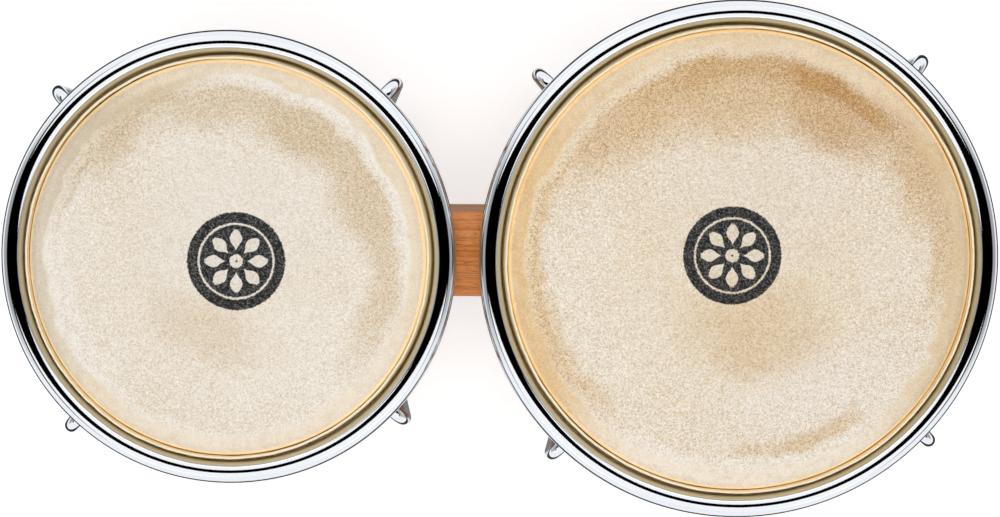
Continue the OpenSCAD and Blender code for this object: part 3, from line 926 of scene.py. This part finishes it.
def make_nut(hook):
    rows = hex_rows(NUT_FLATS, NUT_H, NUT_BORE_R)
    shape = Shape().grid(rows, hook.on_rod(WASHER_T + NUT_H), closed=True)
    stand_for(shape.object(f"{hook.nut}_hex", CHROME, 25), hook.nut, "chrome", hook.nut)


def make_washers(drum):
    shape = Shape()
    for hook in drum.hooks:
        shape.lathe(disc_outline(WASHER_R, 0, WASHER_T, ROD_R + FIT_GAP), 64, hook.on_rod(WASHER_T))
    stand_for(shape.object(f"{drum.name}_plain_washers", ZINC), "root", "zinc_steel", drum.node("washers"))


def make_ring(drum):
    """The ring under the shell: a lip, a rounded corner, a leaning wall and a beaded top."""
    wall_low, wall_high = drum.outer_r(drum.foot_z) + FIT_GAP, drum.outer_r(drum.ring_top) + FIT_GAP
    bead = 0.9 * RING_SHEET
    bead_z = drum.ring_top - bead
    soft = 0.4 * MM
    outline = [
        *arc((drum.foot_r - LIP_W + soft, soft), soft, 270, 180, 3),
        *arc((drum.foot_r - LIP_W + soft, RING_SHEET - soft), soft, 180, 90, 3),
        (wall_low, RING_SHEET),
        (wall_high, bead_z),
        *arc((wall_high + bead, bead_z), bead, 180, -60, 18),
        (drum.outer_r(bead_z - 2 * bead) + FIT_GAP + RING_SHEET, bead_z - 2 * bead),
        (wall_low + RING_SHEET, RING_SHEET),
        *arc((wall_low, RING_SHEET), RING_SHEET, 0, -90, 8)[1:],
    ]
    ring = Shape().lathe(outline, 300, drum.upright()).object(f"{drum.name}_foot_ring", CHROME)
    stand_for(ring, "root", "chrome", drum.node("bottom_ring"))


def ear_rows(reach):
    """An ear with a hole for the rod, from its rounded end to its wide root at -X."""
    soft = 0.5 * MM

    def flare(t, side):
        return -reach * (1 - t), side * (EAR_R + (EAR_ROOT - EAR_R) * (1 - t) ** 2.2)

    def drawn_in(x, y):
        share = 1 - soft / max(hypot(x, y), soft)
        return x * share, y * share

    shares = np.linspace(0.15, 0.9, 7)
    root_x = -(reach + 1.2 * MM)
    outer = [(root_x, EAR_ROOT), *[flare(t, 1) for t in shares], *arc((0, 0), EAR_R, 90, -90, 24)]
    outer += [*[flare(t, -1) for t in shares[::-1]], (root_x, -EAR_ROOT)]
    hole = arc((0, 0), ROD_R + FIT_GAP, 180, -180, len(outer) - 1)
    shrunk = [drawn_in(x, y) for x, y in outer]
    lines = ((hole, 0), (shrunk, 0), (outer, soft), (outer, EAR_T - soft), (shrunk, EAR_T), (hole, EAR_T))
    return [[(x, y, z) for x, y in line] for line, z in lines]


def weld_rows(drum, hook, face):
    """A weld bead where an ear's face, at a height above its underside, meets the ring."""
    spread = asin(EAR_ROOT / (drum.outer_r(hook.foot.z) + RING_SHEET)) * 0.96
    steps = np.linspace(-spread, spread, 60)
    sizes = 1.1 * MM * (1 + 0.10 * np.sin(steps * 900)) * np.clip((spread - np.abs(steps)) / 0.02, 0.25, 1)
    level = hook.foot.z + face
    r = drum.outer_r(level) + FIT_GAP + RING_SHEET + 0.1 * MM
    rows = []
    for a, size in zip(steps, sizes):
        z = level + (hook.foot_x - r * cos(a)) * tan(hook.tilt)
        ring = [(r + size * cos(b), z + size * sin(b)) for b in 2 * pi * np.arange(10) / 10]
        rows.append([(reach * cos(a), reach * sin(a), high) for reach, high in ring])
    return rows


def make_ears(drum):
    """The four ears, and the weld beads that hold them to the ring."""
    ears, beads = Shape(), Shape()
    for hook in drum.hooks:
        reach = hook.foot_x - drum.outer_r(hook.foot.z) - FIT_GAP - RING_SHEET
        ears.grid(ear_rows(reach), hook.on_rod(0), closed=True)
        for face in (0.1 * MM, EAR_T - 0.1 * MM):
            beads.grid(weld_rows(drum, hook, face), hook.plane())
    ears.add(beads.points, beads.faces)
    piece = ears.object(f"{drum.name}_welded_ears", CHROME)
    stand_for(piece, "root", "chrome", drum.node("ring_ears"))


STAVES = {"macho": 12, "hembra": 14}
GROOVE_HALF = 0.0022  # radians
GROOVE_DEPTH = 0.18 * MM


def make_shell(drum):
    """The staves: sectors of the shell's outline with a fine V-groove at every glue line."""
    top_r = drum.edge_x + EDGE_R - SEAT_GAP
    round_r = EDGE_R - SEAT_GAP
    bevel_top = np.array((drum.edge_x, drum.edge_z)) + round_r * np.array((-1, 1)) / sqrt(2)
    run = bevel_top[0] - (top_r - EDGE_WALL)
    soft = 1 * MM
    outline = [
        (drum.foot_in + soft, drum.foot_z), (drum.foot_r - soft, drum.foot_z),
        (drum.foot_r, drum.foot_z + soft),
        *[(drum.outer_r(z), z) for z in np.linspace(drum.foot_z, drum.edge_z, 12)[1:]],
        *arc((drum.edge_x, drum.edge_z), round_r, 0, 135, 12)[1:],
        tuple(bevel_top - run), (drum.foot_in, drum.foot_z + soft),
    ]
    staves = STAVES[drum.name]
    pitch = 2 * pi / staves

    def grooved(rows, angles):
        """Pulls the columns beside the joints up to them, and sinks the joints a little."""
        middle = (angles[0] + angles[-1]) / 2
        for i, side in ((0, -1), (-1, 1)):
            radius = np.hypot(rows[i][:, 0], rows[i][:, 1])
            inner = 1 if i == 0 else -2
            edge = middle + side * (pitch / 2 - GROOVE_HALF)
            rows[inner][:, 0], rows[inner][:, 1] = radius * cos(edge), radius * sin(edge)
            outside = np.clip((radius - (drum.foot_in + 8 * MM)) / MM, 0, 1)
            rows[i][:, :2] *= (1 - GROOVE_DEPTH * outside / radius)[:, None]
        return rows

    shape = Shape()
    for i in range(staves):
        sweep = (i * pitch - pitch / 2, i * pitch + pitch / 2)
        shape.lathe(outline, 12, drum.to_block(), grooved, sweep, mark=(i + 0.5) / staves)
    piece = shape.object(f"{drum.name}_staves", shell_wood(drum), 30)
    stand_for(piece, "root", "shell_wood", drum.node("shell_staves"))


def make_block():
    """The centre block: a rounded bar whose hollow ends fit the two shells."""
    low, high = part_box("center_block")
    soft, wide = BLOCK_EDGE_R, (high.y - low.y) / 2
    corners = ((wide - soft, high.z - soft, 0), (-wide + soft, high.z - soft, 90),
               (-wide + soft, low.z + soft, 180), (wide - soft, low.z + soft, 270))
    outline = [point for cy, cz, start in corners for point in arc((cy, cz), soft, start, start + 90, 8)]
    middle_z = (low.z + high.z) / 2

    def ends(y, z):
        left = MACHO.x + sqrt((MACHO.outer_r(z) + FIT_GAP) ** 2 - y * y)
        right = HEMBRA.x - sqrt((HEMBRA.outer_r(z) + FIT_GAP) ** 2 - y * y)
        return left, right

    def row(shrink, share, inset=0.0):
        """The bar's section, shrunk, at a share of the way across."""
        made = []
        for y, z in outline:
            y, z = y * shrink, middle_z + (z - middle_z) * shrink
            left, right = ends(y, z)
            made.append((left + inset + share * (right - left - 2 * inset), y, z))
        return made

    shrinks = (0.02, 0.25, 0.5, 0.75, 0.97)
    rows = [row(s, 0) for s in shrinks]
    rows += [row(1, share, 0.6 * MM) for share in np.linspace(0, 1, 16)]
    rows += [row(s, 1) for s in shrinks[::-1]]
    piece = Shape().grid(rows).object("block_between_drums", BLOCK_WOOD, 30)
    stand_for(piece, "root", "block_wood", "center_block")


def make_bolts(drum):
    """The mounting bolts with turned hexagonal heads, and the split lock washers under them."""
    points = node_points(drum.node("mounting_bolts"))
    middle = (points[:, 2].min() + points[:, 2].max()) / 2
    bolts, washers = Shape(), Shape()
    for half in (points[points[:, 2] < middle], points[points[:, 2] >= middle]):
        z = (half[:, 2].min() + half[:, 2].max()) / 2
        along = (half[:, 0] - drum.x) * cos(radians(drum.block_side))
        head, tip = along.min(), along.max()
        level = drum.to_block() @ shift(head, 0, z) @ spin(pi / 2, "Y")
        bolts.grid(hex_rows(BOLT_FLATS, BOLT_HEAD_H, 0), level)
        bolts.lathe(disc_outline(BOLT_R, BOLT_HEAD_H - 0.5 * MM, tip - head, soft=0.8 * MM), 32, level)
        seat = level @ shift(0, 0, BOLT_HEAD_H)
        gap = radians(7)
        inner = BOLT_R + 0.4 * MM
        section = [(inner, 0), (LOCK_WASHER_R, 0), (LOCK_WASHER_R, LOCK_WASHER_T), (inner, LOCK_WASHER_T)]
        washers.lathe(section, 60, seat, sweep=(gap, 2 * pi - gap))
    bolt_piece = bolts.object(f"{drum.name}_hex_bolts", ZINC, 25)
    stand_for(bolt_piece, "root", "zinc_steel", drum.node("mounting_bolts"))
    washer_piece = washers.object(f"{drum.name}_split_washers", ZINC, 30, bevel=0.25 * MM)
    stand_for(washer_piece, "root", "zinc_steel", drum.node("lock_washers"))


def paint_node(node, material):
    """Gives a CAD node that stays as it is a better material."""
    mesh = frame["nodes"][node].data
    mesh.materials.clear()
    mesh.materials.append(material)


for drum in DRUMS:
    make_skin(drum)
    make_rim(drum)
    make_ring(drum)
    make_ears(drum)
    make_shell(drum)
    make_washers(drum)
    make_bolts(drum)
    for hook in drum.hooks:
        make_rod(hook)
        make_nut(hook)
    paint_node(drum.node("flesh_hoop"), ZINC)
    paint_node(drum.node("backing_plate"), ZINC)
    paint_node(drum.node("block_inserts"), BRASS)
make_block()

# ---- Floor, light and camera ----

STUDIO = Vector((0, 0, MACHO.rim_top))
CAMERA_H = 0.85  # above the rims
CAMERA_TILT = radians(4.44)  # past straight down
CAMERA_ROLL = radians(-0.30)
SENSOR_W = 36
PX = 0.4371 * MM  # one pixel at the rims
IMAGE_W = 1000
BOX_H = 1.15  # the softboxes' height above the rims
BOX_W, BOX_D, BOX_GAP = 2.4, 1.5, 0.66  # their size, and the gap between them
BOX_POWER = 12
FILL_W, FILL_POWER = 0.5, 4.8
AMBIENT = 0.2
SIDE_WALL, END_WALL = 0.42, 1.05  # how bright the studio's walls are in the chrome
FLOOR_HALF = 6.0


def make_floor():
    corners = [(x * FLOOR_HALF, y * FLOOR_HALF, 0) for x, y in ((-1, -1), (1, -1), (1, 1), (-1, 1))]
    Shape().add(corners, [(0, 1, 2, 3)]).object("studio_floor", pale_floor())


def softbox(name, place, size, power, shiny=True):
    """A lamp that faces straight down."""
    light = bpy.data.lights.new(name, "AREA")
    light.shape, light.size, light.size_y, light.energy = "RECTANGLE", *size, power
    lamp = bpy.data.objects.new(name, light)
    lamp.location = place
    lamp.visible_camera = False
    lamp.visible_glossy = shiny
    SCENE.collection.objects.link(lamp)


def make_world():
    """Even white, but in the chrome it is dark overhead and pale low down, paler to the front and back than
    to the sides."""
    world = bpy.data.worlds.new("studio")
    world.use_nodes = True
    world.node_tree.nodes.clear()
    g = Graph(world.node_tree)
    white = (1, 1, 1, 1)
    _, depth, height = g.parts(g.node("TexCoord", {}).outputs["Generated"])
    wall = g.band(g.math("ABSOLUTE", depth), 0.2, 0.55, SIDE_WALL, END_WALL)
    glow = g.times(wall, g.band(height, 0.50, 0.60, 1.0, 0.0))
    even = g.node("Background", {0: white, 1: AMBIENT}).outputs[0]
    shiny = g.node("Background", {0: (0.94, 0.97, 1, 1), 1: glow}).outputs[0]
    seen = g.node("Background", {0: white}).outputs[0]
    rays = g.node("LightPath", {}).outputs
    lit = g.node("MixShader", {0: rays["Is Glossy Ray"], 1: even, 2: shiny}).outputs[0]
    backdrop = g.node("MixShader", {0: rays["Is Camera Ray"], 1: lit, 2: seen}).outputs[0]
    g.node("OutputWorld", {0: backdrop})
    SCENE.world = world


def make_camera():
    camera = bpy.data.cameras.new("camera")
    camera.sensor_width = SENSOR_W
    camera.lens = SENSOR_W * CAMERA_H / (PX * IMAGE_W)
    camera.clip_start, camera.clip_end = 0.05, 30
    eye = bpy.data.objects.new("camera", camera)
    aim = STUDIO + Vector((0.1, 0.9, 0)) * MM
    ahead = Vector((0, -sin(CAMERA_TILT), -cos(CAMERA_TILT)))
    up = Vector((0, cos(CAMERA_TILT), -sin(CAMERA_TILT)))
    up.rotate(Matrix.Rotation(CAMERA_ROLL, 3, ahead))
    right = ahead.cross(up)
    turned = Matrix((right, up, -ahead)).transposed().to_4x4()
    eye.matrix_world = Matrix.Translation(aim - ahead * CAMERA_H) @ turned
    SCENE.collection.objects.link(eye)
    SCENE.camera = eye


make_floor()
for side, name in ((1, "back_softbox"), (-1, "front_softbox")):
    place = STUDIO + Vector((0, side * (BOX_GAP / 2 + BOX_D / 2), BOX_H))
    softbox(name, place, (BOX_W, BOX_D), BOX_POWER)
softbox("overhead_fill", STUDIO + Vector((0, 0, BOX_H)), (FILL_W, FILL_W), FILL_POWER, shiny=False)
make_world()
make_camera()
SCENE.view_settings.view_transform = "Standard"
